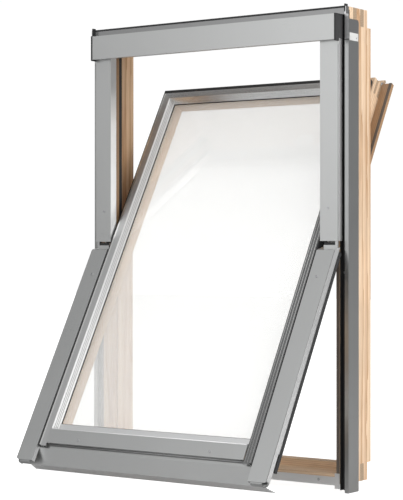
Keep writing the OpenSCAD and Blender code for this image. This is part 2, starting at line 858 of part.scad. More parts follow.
module latch_bolt() {
    color(steel) union() {
        block([-latch_w / 2, latch_y, sash_top - latch_h + 2],
            [latch_w / 2, latch_y + latch_d, sash_top - 6.5]);
        block([-latch_w / 2, latch_y, sash_top - 6.5 - eps],
            [latch_w / 2, latch_y + latch_d / 2, latch_top]);
    }
}

module vent_flap() {
    color(pine) difference() {
        union() {
            rod(-flap_half, flap_half, flap_axis_y, flap_axis_z, flap_barrel_r);
            block([-flap_half, flap_axis_y - flap_barrel_r, flap_axis_z],
                [flap_half, flap_axis_y - flap_barrel_r + flap_t, flap_axis_z + flap_h]);
        }
        pair() rod(flap_half - flap_pin_l - 1, flap_half + 1, flap_axis_y, flap_axis_z,
            flap_pin_r + pin_clear);
    }
}

module flap_brackets() {
    color(steel) pair() {
        block([flap_half + run_gap, flap_axis_y - 6, sash_top],
            [sash_out - 0.2, flap_axis_y + 4, flap_axis_z + 5]);
        rod(flap_half - flap_pin_l, flap_half + 2 * run_gap, flap_axis_y, flap_axis_z, flap_pin_r);
    }
}

module control_bar() {
    color(silver) {
        rod(-bar_half, bar_half, flap_axis_y + flap_barrel_r + bar_out, flap_axis_z + bar_up, bar_r);
        for (x = arm_xs)
            block([x - arm_w / 2, flap_axis_y - flap_barrel_r + flap_t, flap_axis_z + bar_up - 3],
                [x + arm_w / 2, flap_axis_y + flap_barrel_r + bar_out - bar_r + 1,
                    flap_axis_z + bar_up + 3]);
    }
}

// ---------- parts ----------

left() frame_stile();  // frame_stile_left
frame_stile();  // frame_stile_right
frame_head_rail();
frame_sill_rail();
left() frame_stop();  // frame_stop_left
frame_stop();  // frame_stop_right
frame_stop_seals();
left() side_cladding();  // side_cladding_left
side_cladding();  // side_cladding_right
left() corner_cladding();  // corner_cladding_left
corner_cladding();  // corner_cladding_right
corner_clips();
left() channel_gasket();  // channel_gasket_left
channel_gasket();  // channel_gasket_right
head_cladding();
sill_cladding();
hood();
hood_end_caps();
left() upper_cover();  // upper_cover_left
upper_cover();  // upper_cover_right
upper_cover_clips();
left() hinge_frame();  // hinge_frame_left
hinge_frame();  // hinge_frame_right
pivot_pins();
friction_discs();
latch_keeper();
frame_screws();
opened() left() sash_stile();  // sash_stile_left
opened() sash_stile();  // sash_stile_right
opened() sash_top_rail();
opened() sash_bottom_rail();
opened() left() sash_lip();  // sash_lip_left
opened() sash_lip();  // sash_lip_right
opened() sash_lip_gaskets();
opened() sash_seal();
opened() pane(glass_y);  // outer_pane
opened() pane(inner_pane_y);  // inner_pane
opened() pane_spacer();
opened() edge_seal();
opened() glazing_tape();
opened() setting_blocks();
opened() left() glazing_profile_side();  // glazing_profile_left
opened() glazing_profile_side();  // glazing_profile_right
opened() glazing_profile_top();
opened() glazing_profile_bottom();
opened() left() lower_cover();  // lower_cover_left
opened() lower_cover();  // lower_cover_right
opened() lower_cover_caps();
opened() lower_cover_clips();
opened() lower_cover_strips();
opened() bottom_cover();
opened() bottom_apron();
opened() left() hinge_sash();  // hinge_sash_left
opened() hinge_sash();  // hinge_sash_right
opened() lock_case();
opened() latch_bolt();
opened() flap_turned() vent_flap();
opened() flap_brackets();
opened() flap_turned() control_bar();
opened() sash_screws();
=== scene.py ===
"""Centre-pivot roof skylight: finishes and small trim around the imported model."""

import json
import math

import bmesh
import bpy
from mathutils import Matrix, Vector


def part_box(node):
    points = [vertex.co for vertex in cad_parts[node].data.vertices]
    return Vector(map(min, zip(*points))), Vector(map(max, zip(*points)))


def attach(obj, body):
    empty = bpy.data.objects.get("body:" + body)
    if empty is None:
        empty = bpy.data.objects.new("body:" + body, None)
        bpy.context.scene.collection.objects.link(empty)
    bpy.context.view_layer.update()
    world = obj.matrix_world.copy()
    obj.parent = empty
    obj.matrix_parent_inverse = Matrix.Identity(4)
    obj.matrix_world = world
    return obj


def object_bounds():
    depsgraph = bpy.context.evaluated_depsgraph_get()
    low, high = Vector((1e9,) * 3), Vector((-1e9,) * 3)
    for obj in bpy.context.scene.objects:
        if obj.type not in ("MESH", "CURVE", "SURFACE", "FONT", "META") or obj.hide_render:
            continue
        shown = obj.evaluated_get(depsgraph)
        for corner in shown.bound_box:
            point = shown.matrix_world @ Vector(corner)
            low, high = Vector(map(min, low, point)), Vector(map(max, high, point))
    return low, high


bl_info = {
    "name": "Roof skylight",
    "version": (1, 0, 0),
    "blender": (4, 5, 0),
    "location": "View3D > Sidebar > Skylight",
    "description": "Dresses a centre-pivot roof skylight and sets up its stage",
    "category": "Object",
}

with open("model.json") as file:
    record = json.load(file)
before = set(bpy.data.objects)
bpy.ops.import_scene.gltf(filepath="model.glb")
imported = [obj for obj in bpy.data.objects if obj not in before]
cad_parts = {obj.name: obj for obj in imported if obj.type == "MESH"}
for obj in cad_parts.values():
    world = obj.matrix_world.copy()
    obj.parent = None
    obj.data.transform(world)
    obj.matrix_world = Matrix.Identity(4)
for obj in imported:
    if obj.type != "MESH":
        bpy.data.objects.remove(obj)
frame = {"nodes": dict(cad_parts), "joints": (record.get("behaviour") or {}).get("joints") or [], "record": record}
CAD_BOX = [[float(c) for c in corner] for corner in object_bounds()]
NODES = frame["nodes"]
SLOTS = {part["node"]: part["material_slot"] for part in frame["record"]["subparts"]}

MM = 0.001
TILT_JOINT = next(joint for joint in frame["joints"] if joint["name"] == "sash_tilt")
PIVOT = Vector(TILT_JOINT["pos_m"])
TILT = -math.radians(TILT_JOINT["range_deg"][0])

# Turns a place on the closed sash to where the sash stands as stored.
OPENED = (
    Matrix.Translation(PIVOT) @ Matrix.Rotation(-TILT, 4, "X") @ Matrix.Translation(-PIVOT)
)


def closed_box(*names):
    """The lowest and highest corners of sash nodes, measured as if the sash were closed."""
    back = OPENED.inverted()
    points = [back @ v.co for name in names for v in NODES[name].data.vertices]
    low = Vector([min(p[i] for p in points) for i in range(3)])
    high = Vector([max(p[i] for p in points) for i in range(3)])
    return low, high


# ---------------------------------------------------------------- settings


def length(name, text, default):
    """A length property, stored in metres."""
    return bpy.props.FloatProperty(
        name=name, description=text, default=default, min=0.0, unit="LENGTH"
    )


def colour(name, text, default):
    """A linear colour property."""
    return bpy.props.FloatVectorProperty(
        name=name, description=text, default=default, size=3, min=0.0, max=1.0, subtype="COLOR"
    )


def grey(tone):
    """A neutral colour."""
    return (tone, tone, tone)


class SkylightSizes(bpy.types.PropertyGroup):
    """Sizes of the trim and of the edges."""

    sheet_edge: length("Sheet edge", "Rounding of the folded sheet's edges", 0.45 * MM)
    timber_edge: length("Timber edge", "Rounding of the timber's arrises", 1.2 * MM)
    rubber_edge: length("Rubber edge", "Rounding of the gaskets", 0.8 * MM)
    rib_width: length("Rib width", "Width of the ribs on the glazing profile", 1.1 * MM)
    bead_radius: length("Bead radius", "Radius of the bead along each side cover", 0.7 * MM)


class SkylightColours(bpy.types.PropertyGroup):
    """Colours of the finishes."""

    pine_light: colour("Pine, early wood", "Pale wood between the rings", (0.83, 0.62, 0.43))
    pine_dark: colour("Pine, late wood", "Warm lines of the rings", (0.50, 0.28, 0.14))
    shaded_light: colour("Shaded pine, light", "Pale lines of the stops", (0.42, 0.25, 0.13))
    shaded_dark: colour("Shaded pine, dark", "Dark lines of the stops", (0.24, 0.13, 0.07))
    cladding: colour("Cladding", "Grey coating on the aluminium", (0.56, 0.565, 0.56))
    bare: colour("Bare aluminium", "Anodised glazing profiles", (0.70, 0.705, 0.69))
    # This tone is painted shade on the outward flats of the right and top glazing profiles.
    profile_painted_shade: colour("Profile painted shade", "Painted shade on the profiles' outward flat faces", grey(0.22))
    rubber: colour("Rubber", "Gaskets and seals", (0.018, 0.018, 0.019))


# ---------------------------------------------------------------- node helpers


def link(tree, start, end):
    tree.links.new(start, end)


def feed(tree, socket, value):
    """Links an input to another node's output, or sets it to a plain value."""
    if isinstance(value, bpy.types.NodeSocket):
        link(tree, value, socket)
    else:
        socket.default_value = value


def add(tree, kind, x=0, y=0, feeds=(), **values):
    """Adds a node.

    A keyword that names a property sets it, any other feeds the input of that name;
    the feeds go to the inputs in their order.
    """
    node = tree.nodes.new(kind)
    node.location = (x, y)
    for key, value in values.items():
        if hasattr(node, key):
            setattr(node, key, value)
        else:
            feed(tree, node.inputs[key.replace("_", " ")], value)
    for socket, value in zip(node.inputs, feeds):
        feed(tree, socket, value)
    return node


def maths(tree, x, y, operation, *feeds):
    """The result of a sum on numbers and sockets."""
    return add(tree, "ShaderNodeMath", x, y, feeds, operation=operation).outputs[0]


def remap(tree, x, y, value, low, high, source=(0.0, 1.0)):
    """A value taken from its source range to the range from low to high."""
    bounds = {"From_Min": source[0], "From_Max": source[1], "To_Min": low, "To_Max": high}
    return add(tree, "ShaderNodeMapRange", x, y, Value=value, **bounds).outputs[0]


def scaled(tree, x, y, tone, factor):
    """A colour made lighter or darker."""
    node = add(tree, "ShaderNodeVectorMath", x, y, (tone,), operation="SCALE", Scale=factor)
    return node.outputs[0]


FLOAT, COLOR, VECTOR = "NodeSocketFloat", "NodeSocketColor", "NodeSocketVector"


def new_group(name, inputs):
    """A shader node group with the named inputs, for a colour, a roughness and a height."""
    group = bpy.data.node_groups.new(name, "ShaderNodeTree")
    for label, kind, default in inputs:
        socket = group.interface.new_socket(name=label, in_out="INPUT", socket_type=kind)
        if default is not None:
            socket.default_value = default
    for label, kind in (("Colour", COLOR), ("Roughness", FLOAT), ("Height", FLOAT)):
        group.interface.new_socket(name=label, in_out="OUTPUT", socket_type=kind)
    start = group.nodes.new("NodeGroupInput")
    start.location = (-900, 0)
    return group, start.outputs


def close_group(group, *results):
    """Sends the colour, the roughness and the height out of a group."""
    add(group, "NodeGroupOutput", 900, 0, results)
    return group


def figure_group():
    """Growth rings, fine fibre and end grain of sawn pine."""
    group, given = new_group(
        "Pine Figure",
        [
            ("Along", VECTOR, None),
            ("Face Normal", VECTOR, None),
            ("Light", COLOR, (0.8, 0.6, 0.4, 1)),
            ("Dark", COLOR, (0.6, 0.4, 0.2, 1)),
            ("Ring Contrast", FLOAT, 0.6),
        ],
    )
    # The grain runs along Z of the incoming place, so Z is squeezed.
    squeeze = add(
        group, "ShaderNodeMapping", -700, 200, Vector=given["Along"], Scale=(1.0, 1.0, 0.045)
    ).outputs[0]
    drift = add(group, "ShaderNodeTexNoise", -500, 350, Vector=squeeze, Scale=9.0, Detail=2.0)
    bend = add(
        group,
        "ShaderNodeVectorMath",
        -320,
        300,
        (drift.outputs["Color"], (0.03, 0.03, 0.0), squeeze),
        operation="MULTIPLY_ADD",
    )
    rings = add(
        group,
        "ShaderNodeTexWave",
        -140,
        300,
        wave_type="RINGS",
        rings_direction="Z",
        wave_profile="SAW",
        Vector=bend.outputs[0],
        Scale=80.0,
        Distortion=3.2,
        Detail=2.0,
        Detail_Scale=1.4,
    )
    fibre = add(
        group,
        "ShaderNodeTexNoise",
        -140,
        40,
        Vector=squeeze,
        Scale=420.0,
        Detail=5.0,
        Roughness=0.65,
    ).outputs["Fac"]
    patch = add(
        group, "ShaderNodeTexNoise", -140, -160, Vector=given["Along"], Scale=5.0, Detail=1.0
    ).outputs["Fac"]
    edge = maths(group, 60, 300, "POWER", rings.outputs["Fac"], 2.2)
    strength = maths(group, 220, 300, "MULTIPLY", edge, given["Ring Contrast"])
    blend = add(
        group,
        "ShaderNodeMix",
        400,
        260,
        data_type="RGBA",
        Factor=strength,
        A=given["Light"],
        B=given["Dark"],
    )
    streak = remap(group, 60, 40, fibre, 0.84, 1.08, (0.3, 0.75))
    shade = remap(group, 60, -160, patch, 0.93, 1.04, (0.35, 0.65))
    both = maths(group, 240, -40, "MULTIPLY", streak, shade)
    # Sawn ends across the grain are darker.
    split = add(group, "ShaderNodeSeparateXYZ", -320, -340, (given["Face Normal"],))
    ends = maths(group, -140, -340, "ABSOLUTE", split.outputs["Z"])
    end_mask = remap(group, 60, -340, ends, 1.0, 0.55, (0.6, 0.9))
    all_three = maths(group, 420, -60, "MULTIPLY", both, end_mask)
    return close_group(
        group,
        scaled(group, 640, 200, blend.outputs["Result"], all_three),
        remap(group, 640, -60, fibre, 0.36, 0.5),
        maths(group, 640, -240, "MULTIPLY_ADD", fibre, 0.35, strength),
    )


def fine_grain_group():
    """Small even unevenness: orange peel on coatings, the moulded skin of rubber and plastic."""
    group, given = new_group(
        "Fine Grain",
        [
            ("Place", VECTOR, None),
            ("Tone", COLOR, (0.3, 0.3, 0.3, 1)),
            ("Grain Size", FLOAT, 800.0),
            ("Mottle", FLOAT, 0.06),
            ("Roughness", FLOAT, 0.4),
            ("Roughness Spread", FLOAT, 0.08),
        ],
    )
    place = given["Place"]
    peel = add(
        group,
        "ShaderNodeTexNoise",
        -600,
        200,
        Vector=place,
        Scale=given["Grain Size"],
        Detail=2.0,
        Roughness=0.5,
    ).outputs["Fac"]
    cloud = add(
        group, "ShaderNodeTexNoise", -600, -80, Vector=place, Scale=7.0, Detail=4.0, Roughness=0.55
    ).outputs["Fac"]
    centred = maths(group, -400, -80, "SUBTRACT", cloud, 0.5)
    speck = maths(group, -400, 120, "SUBTRACT", peel, 0.5)
    total = maths(group, -220, 20, "ADD", centred, speck)
    gain = maths(group, -40, 20, "MULTIPLY", total, given["Mottle"])
    factor = maths(group, 140, 20, "ADD", gain, 1.0)
    spread, rough = given["Roughness Spread"], given["Roughness"]
    return close_group(
        group,
        scaled(group, 320, 120, given["Tone"], factor),
        maths(group, 320, -120, "MULTIPLY_ADD", total, spread, rough),
        peel,
    )


def drawn_group():
    """Fine lines left along a drawn or extruded metal section."""
    group, given = new_group(
        "Drawn Lines",
        [
            ("Place", VECTOR, None),
            ("Tone", COLOR, (0.7, 0.7, 0.7, 1)),
            ("Line Contrast", FLOAT, 0.12),
            ("Roughness", FLOAT, 0.3),
        ],
    )
    squeeze = add(
        group, "ShaderNodeMapping", -700, 100, Vector=given["Place"], Scale=(1.0, 1.0, 0.004)
    )
    lines = add(
        group,
        "ShaderNodeTexNoise",
        -500,
        100,
        Vector=squeeze.outputs[0],
        Scale=1500.0,
        Detail=4.0,
        Roughness=0.6,
    ).outputs["Fac"]
    centred = maths(group, -300, 100, "SUBTRACT", lines, 0.5)
    factor = maths(group, -120, 100, "MULTIPLY_ADD", centred, given["Line Contrast"], 1.0)
    return close_group(
        group,
        scaled(group, 120, 160, given["Tone"], factor),
        maths(group, 120, -80, "MULTIPLY_ADD", centred, 0.22, given["Roughness"]),
        lines,
    )


# ---------------------------------------------------------------- materials

GROUPS = {}
MATERIALS = {}

# Turns that bring the run of a piece to Z.
UPRIGHT = (0.0, 0.0, 0.0)
CROSSWISE = (0.0, math.radians(90.0), 0.0)
LEANING = (TILT, 0.0, 0.0)

# Directions in which faces of the opened sash look.
OUTWARD = (0.0, -math.cos(TILT), math.sin(TILT))
DOWNWARD = (0.0, -math.sin(TILT), -math.cos(TILT))
TO_RIGHT = (1.0, 0.0, 0.0)
UNDERSIDE = (0.0, -0.2, -0.98)
LEFT_BEVEL = (0.85, -0.45, 0.26)


def rgba(values):
    return (values[0], values[1], values[2], 1.0)


def blank(name):
    """An empty material with its output and Principled shader."""
    material = bpy.data.materials.new(name)
    material.use_nodes = True
    tree = material.node_tree
    tree.nodes.clear()
    output = add(tree, "ShaderNodeOutputMaterial", 700, 0)
    shader = add(tree, "ShaderNodeBsdfPrincipled", 400, 0)
    link(tree, shader.outputs[0], output.inputs["Surface"])
    return material, tree, shader


def surface(name, kind, turn, depth, **inputs):
    """A material whose colour, roughness and height come from a group.

    The depth is the strength and the distance of the bump.
    """
    material, tree, shader = blank(name)
    group = add(tree, "ShaderNodeGroup", -200, 0, node_tree=GROUPS[kind], **inputs)
    where = add(tree, "ShaderNodeTexCoord", -900, 0)
    place = add(
        tree, "ShaderNodeMapping", -700, 0, Vector=where.outputs["Object"], Rotation=turn
    )
    link(tree, place.outputs[0], group.inputs[0])
    if "Face Normal" in group.inputs:
        normal = add(
            tree,
            "ShaderNodeMapping",
            -700,
            -350,
            vector_type="NORMAL",
            Vector=where.outputs["Normal"],
            Rotation=turn,
        )
        link(tree, normal.outputs[0], group.inputs["Face Normal"])
    link(tree, group.outputs["Colour"], shader.inputs["Base Color"])
    link(tree, group.outputs["Roughness"], shader.inputs["Roughness"])
    if depth:
        strength, distance = depth
        bump = add(
            tree,
            "ShaderNodeBump",
            150,
            -300,
            Height=group.outputs["Height"],
            Strength=strength,
            Distance=distance,
        )
        link(tree, bump.outputs[0], shader.inputs["Normal"])
    return material, tree, shader


def pine_material(name, light, dark, turn, contrast):
    """Lacquered pine whose grain runs along one direction."""
    material, _, shader = surface(
        name,
        "pine",
        turn,
        (0.25, 0.0003),
        Light=rgba(light),
        Dark=rgba(dark),
        Ring_Contrast=contrast,
    )
    shader.inputs["Coat Weight"].default_value = 0.15
    shader.inputs["Coat Roughness"].default_value = 0.3
    return material


def grained_material(name, tone, size, mottle, rough, spread, metallic, strength):
    """A coating, rubber or plastic with a fine even grain."""
    material, _, shader = surface(
        name,
        "grain",
        UPRIGHT,
        (strength, 0.0002),
        Tone=rgba(tone),
        Grain_Size=size,
        Mottle=mottle,
        Roughness=rough,
        Roughness_Spread=spread,
    )
    shader.inputs["Metallic"].default_value = metallic
    return material


def coating(name, tone):
    """The grey coating of the sheet parts."""
    return grained_material(name, tone, 1400.0, 0.05, 0.3, 0.08, 0.9, 0.05)


def drawn_material(name, tone, turn, rough, contrast, metallic=1.0):
    """Bare metal with lines along the section."""
    material, _, shader = surface(
        name,
        "drawn",
        turn,
        (0.12, 0.0001),
        Tone=rgba(tone),
        Roughness=rough,
        Line_Contrast=contrast,
    )
    shader.inputs["Metallic"].default_value = metallic
    return material


# The change of a face's cosine over which its other tone comes in.
MASK_WIDTH = 0.05


def shade_facing(material, direction, tone, blend="MIX", sharp=0.9):
    """Gives another tone to the faces of a material that look one way."""
    tree = material.node_tree
    shader = next(n for n in tree.nodes if n.type == "BSDF_PRINCIPLED")
    where = add(tree, "ShaderNodeTexCoord", -900, -600)
    facing = add(
        tree,
        "ShaderNodeVectorMath",
        -700,
        -600,
        (where.outputs["Normal"], direction),
        operation="DOT_PRODUCT",
    )
    mask = remap(
        tree, -500, -600, facing.outputs["Value"], 0.0, 1.0, (sharp, sharp + MASK_WIDTH)
    )
    mix = add(
        tree,
        "ShaderNodeMix",
        200,
        200,
        data_type="RGBA",
        blend_type=blend,
        Factor=mask,
        A=shader.inputs["Base Color"].links[0].from_socket,
        B=rgba(tone),
    )
    link(tree, mix.outputs["Result"], shader.inputs["Base Color"])
    return material


def shade_painted_profile(name, bare, coat, turn):
    """Drawn metal whose outward flat faces get a darker tone, painted shade that stands in for a dark reflection.
    """
    return shade_facing(drawn_material(name, bare, turn, 0.28, 0.2), OUTWARD, coat, sharp=0.93)


def glass_material():
    """Clear float glass that lets lamps light what is behind it, with a white diffuse share that paints the panes'
    bright reflection.
    """
    material, tree, shader = surface(
        "clear glass",
        "grain",
        UPRIGHT,
        None,
        Tone=(0.99, 0.99, 0.985, 1.0),
        Grain_Size=40.0,
        Mottle=0.004,
        Roughness=0.0,
        Roughness_Spread=0.004,
    )
    # The share that is not transmitted is a white diffuse veil: painted reflection over all that is seen through
    # the panes.
    shader.inputs["Transmission Weight"].default_value = 0.84
    shader.inputs["IOR"].default_value = 1.45
    output = next(n for n in tree.nodes if n.type == "OUTPUT_MATERIAL")
    rays = add(tree, "ShaderNodeLightPath", 200, 400)
    through = add(tree, "ShaderNodeBsdfTransparent", 400, 250, Color=(0.95, 0.95, 0.945, 1.0))
    mix = add(
        tree,
        "ShaderNodeMixShader",
        580,
        150,
        (rays.outputs["Is Shadow Ray"], shader.outputs[0], through.outputs[0]),
    )
    link(tree, mix.outputs[0], output.inputs["Surface"])
    return material


# Name, tone, grain size, mottle, roughness, its spread, metallic share, bump.
GRAINED = {
    "spacer": ("sand spacer", (0.62, 0.50, 0.38), 500.0, 0.1, 0.5, 0.1, 0.0, 0.1),
    # The bright edge finish is a painted highlight.
    "bright": ("painted highlight edge", grey(0.92), 900.0, 0.02, 0.3, 0.05, 0.0, 0.05),
    # Painted shade: this dark tone on raised beads stands in for the shade in creases and under edges.
    "groove": ("painted crease shade", grey(0.30), 900.0, 0.1, 0.4, 0.1, 0.6, 0.1),
    "strip": ("brown-grey strip", (0.115, 0.092, 0.075), 700.0, 0.3, 0.6, 0.2, 0.0, 0.25),
    "plastic": ("black plastic", (0.022, 0.022, 0.023), 1100.0, 0.2, 0.5, 0.15, 0.0, 0.3),
}
# How much darker than the cladding the trim and the cladding in shade are.
TRIM_SHARE, BAND_SHARE = 0.12, 0.72
# Painted shade and painted light on the timber faces of the opening: a darkening factor and a lightening one.
REVEAL_PAINTED_SHADE, REVEAL_PAINTED_LIGHT = (0.9, 0.83, 0.75), (1.2, 1.15, 1.05)


def make_materials():
    """Builds every group and material once, from the colour settings."""
    tones = bpy.context.scene.skylight_colours
    GROUPS.update(pine=figure_group(), grain=fine_grain_group(), drawn=drawn_group())
    pine = tones.pine_light, tones.pine_dark
    shaded = tones.shaded_light, tones.shaded_dark
    sheet, bare = tones.cladding, tones.bare
    trim = [TRIM_SHARE * c for c in sheet]
    band = [BAND_SHARE * c for c in sheet]
    for key, values in GRAINED.items():
        MATERIALS[key] = grained_material(*values)
    for key, name, timber, turn, contrast in (
        ("pine upright", "pine upright", pine, UPRIGHT, 1.0),
        ("pine crosswise", "pine crosswise", pine, CROSSWISE, 0.75),
        ("pine leaning", "pine leaning", pine, LEANING, 0.75),
        ("shaded upright", "shaded upright", shaded, UPRIGHT, 0.6),
        ("shaded leaning", "shaded leaning", shaded, LEANING, 0.6),
        ("shaded reveal upright", "pine upright, painted shade", pine, UPRIGHT, 1.0),
        ("lit reveal leaning", "pine leaning, painted light", pine, LEANING, 0.75),
        ("lit reveal crosswise", "pine crosswise, painted light", pine, CROSSWISE, 0.75),
    ):
        MATERIALS[key] = pine_material(name, *timber, turn, contrast)
    # Besides the plain cladding these are lit and shaded copies of one grey coating: pale is painted light on the
    # sill and bottom profile, band and dim are painted shade.
    for key, name, tone in (
        ("cladding", "grey cladding", sheet),
        ("band", "grey cladding in painted shade", band),
        ("lit_walls", "grey cladding, painted light on right faces", sheet),
        ("apron", "grey cladding apron, painted light below", sheet),
        ("corner", "grey cladding corner, painted light and shade", grey(0.74)),
        ("pale", "grey cladding, painted light", grey(0.84)),
        ("dim", "grey cladding, deeper painted shade", grey(0.33)),
    ):
        MATERIALS[key] = coating(name, tone)
    MATERIALS["trim"] = grained_material("grey trim", trim, 900.0, 0.1, 0.5, 0.1, 0.0, 0.12)
    MATERIALS["rubber"] = grained_material(
        "black rubber", tones.rubber, 700.0, 0.35, 0.62, 0.2, 0.0, 0.25
    )
    for key, name, tone, turn, rough, contrast, metallic in (
        ("bare leaning", "bare aluminium leaning", bare, LEANING, 0.3, 0.16, 1.0),
        ("bare crosswise", "bare aluminium crosswise", bare, CROSSWISE, 0.3, 0.16, 1.0),
        # The left profile is a darker copy of the bare aluminium, painted shade, with a painted highlight on its
        # bevel.
        ("left profile, painted highlight", "bare aluminium, painted bevel highlight", grey(0.52), LEANING, 0.5, 0.1, 1.0),
        ("steel", "stainless steel", (0.56, 0.56, 0.57), UPRIGHT, 0.28, 0.2, 1.0),
        ("zinc", "zinc plate", (0.86, 0.86, 0.84), UPRIGHT, 0.5, 0.25, 0.6),
    ):
        MATERIALS[key] = drawn_material(name, tone, turn, rough, contrast, metallic)
    # Painted shade on the flats of the right and top profiles; the near-white tone on the top profile's other
    # faces is a painted highlight.
    MATERIALS["coated leaning"] = shade_painted_profile(
        "glazing profile leaning, painted shade", bare, tones.profile_painted_shade, LEANING
    )
    MATERIALS["profile crosswise, painted shade and highlight"] = shade_painted_profile(
        "glazing profile crosswise, painted shade and highlight", (1.0, 1.0, 0.99), grey(0.52), CROSSWISE
    )
    MATERIALS["glass"] = glass_material()
    # Painted light: faces of the side covers that look right, toward the key lamp, are lighter.
    shade_facing(MATERIALS["lit_walls"], TO_RIGHT, grey(0.95))
    # Painted light: the apron's faces that look down are lighter, as if lit from the bright floor.
    shade_facing(MATERIALS["apron"], UNDERSIDE, grey(0.86), sharp=0.5)
    # Painted light and shade: the corner cladding is a lighter copy of the coating, with painted shade on its
    # faces that look right.
    shade_facing(MATERIALS["corner"], TO_RIGHT, grey(0.38))
    # Painted highlight: the left profile's bevel, which looks toward the key lamp, is lighter.
    shade_facing(MATERIALS["left profile, painted highlight"], LEFT_BEVEL, (0.74, 0.74, 0.735))
    # Painted shade on the frame's left reveal; painted light on the sash's left stile and top rail where they face
    # the opening.
    shade_facing(MATERIALS["shaded reveal upright"], TO_RIGHT, REVEAL_PAINTED_SHADE, "MULTIPLY")
    shade_facing(MATERIALS["lit reveal leaning"], TO_RIGHT, REVEAL_PAINTED_LIGHT, "MULTIPLY")
    shade_facing(MATERIALS["lit reveal crosswise"], DOWNWARD, REVEAL_PAINTED_LIGHT, "MULTIPLY")


# Nodes whose material does not follow from their slot alone.
NODE_FINISH = {
    "sash_lip_gaskets": "strip",
    "head_cladding": "dim",
    "pane_spacer": "spacer",
    "bottom_apron": "apron",
    "sill_cladding": "pale",
    "frame_stile_left": "shaded reveal upright",
    "sash_stile_left": "lit reveal leaning",
    "sash_top_rail": "lit reveal crosswise",
    "lower_cover_caps": "band",
    "glazing_profile_left": "left profile, painted highlight",
    "glazing_profile_right": "coated leaning",
    "glazing_profile_top": "profile crosswise, painted shade and highlight",
    "glazing_profile_bottom": "pale",
}
for label in ("left", "right"):
    NODE_FINISH[f"upper_cover_{label}"] = "lit_walls"
    NODE_FINISH[f"lower_cover_{label}"] = "lit_walls"
    NODE_FINISH[f"corner_cladding_{label}"] = "corner"
    NODE_FINISH[f"side_cladding_{label}"] = "band"
CROSSWISE_WORDS = ("rail", "top", "bottom", "bar", "sill", "flap")
SLOT_FINISH = {
    "grey_cladding": "cladding",
    "grey_trim": "trim",
    "black_rubber": "rubber",
    "black_plastic": "plastic",
    "glass": "glass",
    "steel": "steel",
    "zinc_plate": "zinc",
}


def finish_of(node):
    """The material for a CAD node, from its name, its slot and the way it runs."""
    if node in NODE_FINISH:
        return NODE_FINISH[node]
    slot = SLOTS[node]
    crosswise = any(word in node for word in CROSSWISE_WORDS)
    leaning = node.startswith(("sash", "glazing"))
    if slot == "pine":
        if crosswise:
            return "pine crosswise"
        return "pine leaning" if leaning else "pine upright"
    if slot == "pine_shaded":
        return "shaded leaning" if leaning else "shaded upright"
    if slot == "bare_aluminium":
        return "bare crosswise" if crosswise else "bare leaning"
    return SLOT_FINISH[slot]


def dress(obj, material):
    """Puts one material on every slot of an object."""
    if not obj.material_slots:
        obj.data.materials.append(MATERIALS[material])
    for slot in obj.material_slots:
        slot.material = MATERIALS[material]


def soften(obj, width):
    """Rounds the sharp edges with a bevel modifier."""
    bevel = obj.modifiers.new("edge", "BEVEL")
    bevel.width = width
    bevel.segments = 2
    bevel.limit_method = "ANGLE"
    bevel.angle_limit = math.radians(40.0)
    bevel.use_clamp_overlap = True
    bevel.harden_normals = False


# ---------------------------------------------------------------- mesh helpers

SIDEWAYS, FORWARD, UPWARD = Vector((1, 0, 0)), Vector((0, -1, 0)), Vector((0, 0, 1))


def mesh_object(name, verts, faces, material, smooth=False):
    """Makes an object from points and faces in metres."""
    mesh = bpy.data.meshes.new(name)
    mesh.from_pydata([tuple(v) for v in verts], [], faces)
    mesh.validate()
    outward = bmesh.new()
    outward.from_mesh(mesh)
    bmesh.ops.recalc_face_normals(outward, faces=outward.faces)
    for face in outward.faces:
        face.smooth = smooth
    outward.to_mesh(mesh)
    outward.free()
    obj = bpy.data.objects.new(name, mesh)
    bpy.context.scene.collection.objects.link(obj)
    dress(obj, material)
    return obj


def sweep(sections):
    """Points and faces of a closed skin through a list of equal sections."""
    count = len(sections[0])
    verts = [p for section in sections for p in section]
    faces = []
    for i in range(len(sections) - 1):
        for j in range(count):
            k = (j + 1) % count
            faces.append((i * count + j, i * count + k, (i + 1) * count + k, (i + 1) * count + j))
    faces.append(tuple(reversed(range(count))))
    last = (len(sections) - 1) * count
    faces.append(tuple(last + j for j in range(count)))
    return verts, faces


def half_round(across, outward, radius, steps=6):
    """Offsets of a half-round bead whose flat side lies on the surface."""
    return [
        across * (radius * math.cos(math.pi * i / steps))
        + outward * (radius * math.sin(math.pi * i / steps))
        for i in range(steps + 1)
    ]


def run(offsets, spots, turn=OPENED):
    """Points and faces of a bead that runs through the spots, turned to where it stands."""
    return sweep([[turn @ (Vector(spot) + o) for o in offsets] for spot in spots])


def join_meshes(name, parts, material, smooth=False):
    """One object from several skins."""
    verts, faces = [], []
    for part_verts, part_faces in parts:
        base = len(verts)
        verts.extend(part_verts)
        faces.extend([tuple(base + i for i in face) for face in part_faces])
    return mesh_object(name, verts, faces, material, smooth)


# ---------------------------------------------------------------- operators


class SKYLIGHT_OT_finishes(bpy.types.Operator):
    """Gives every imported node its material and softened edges"""

    bl_idname = "skylight.finishes"
    bl_label = "Finishes"

    def execute(self, context):
        make_materials()
        sizes = context.scene.skylight_sizes
        widths = {
            "pine": sizes.timber_edge,
            "pine_shaded": sizes.timber_edge,
            "grey_cladding": sizes.sheet_edge,
            "grey_trim": sizes.sheet_edge,
            "bare_aluminium": sizes.sheet_edge,
            "black_rubber": sizes.rubber_edge,
            "black_plastic": sizes.sheet_edge,
        }
        for name, obj in NODES.items():
            dress(obj, finish_of(name))
            width = widths.get(SLOTS[name])
            if width:
                soften(obj, width)
        return {"FINISHED"}


# The flat and the bevel of a glazing profile, from its outer edge to the line of sight.
PROFILE_FLAT = 17.0 * MM
PROFILE_BEVEL = 11.0 * MM
PROFILE_WIDTH = PROFILE_FLAT + PROFILE_BEVEL


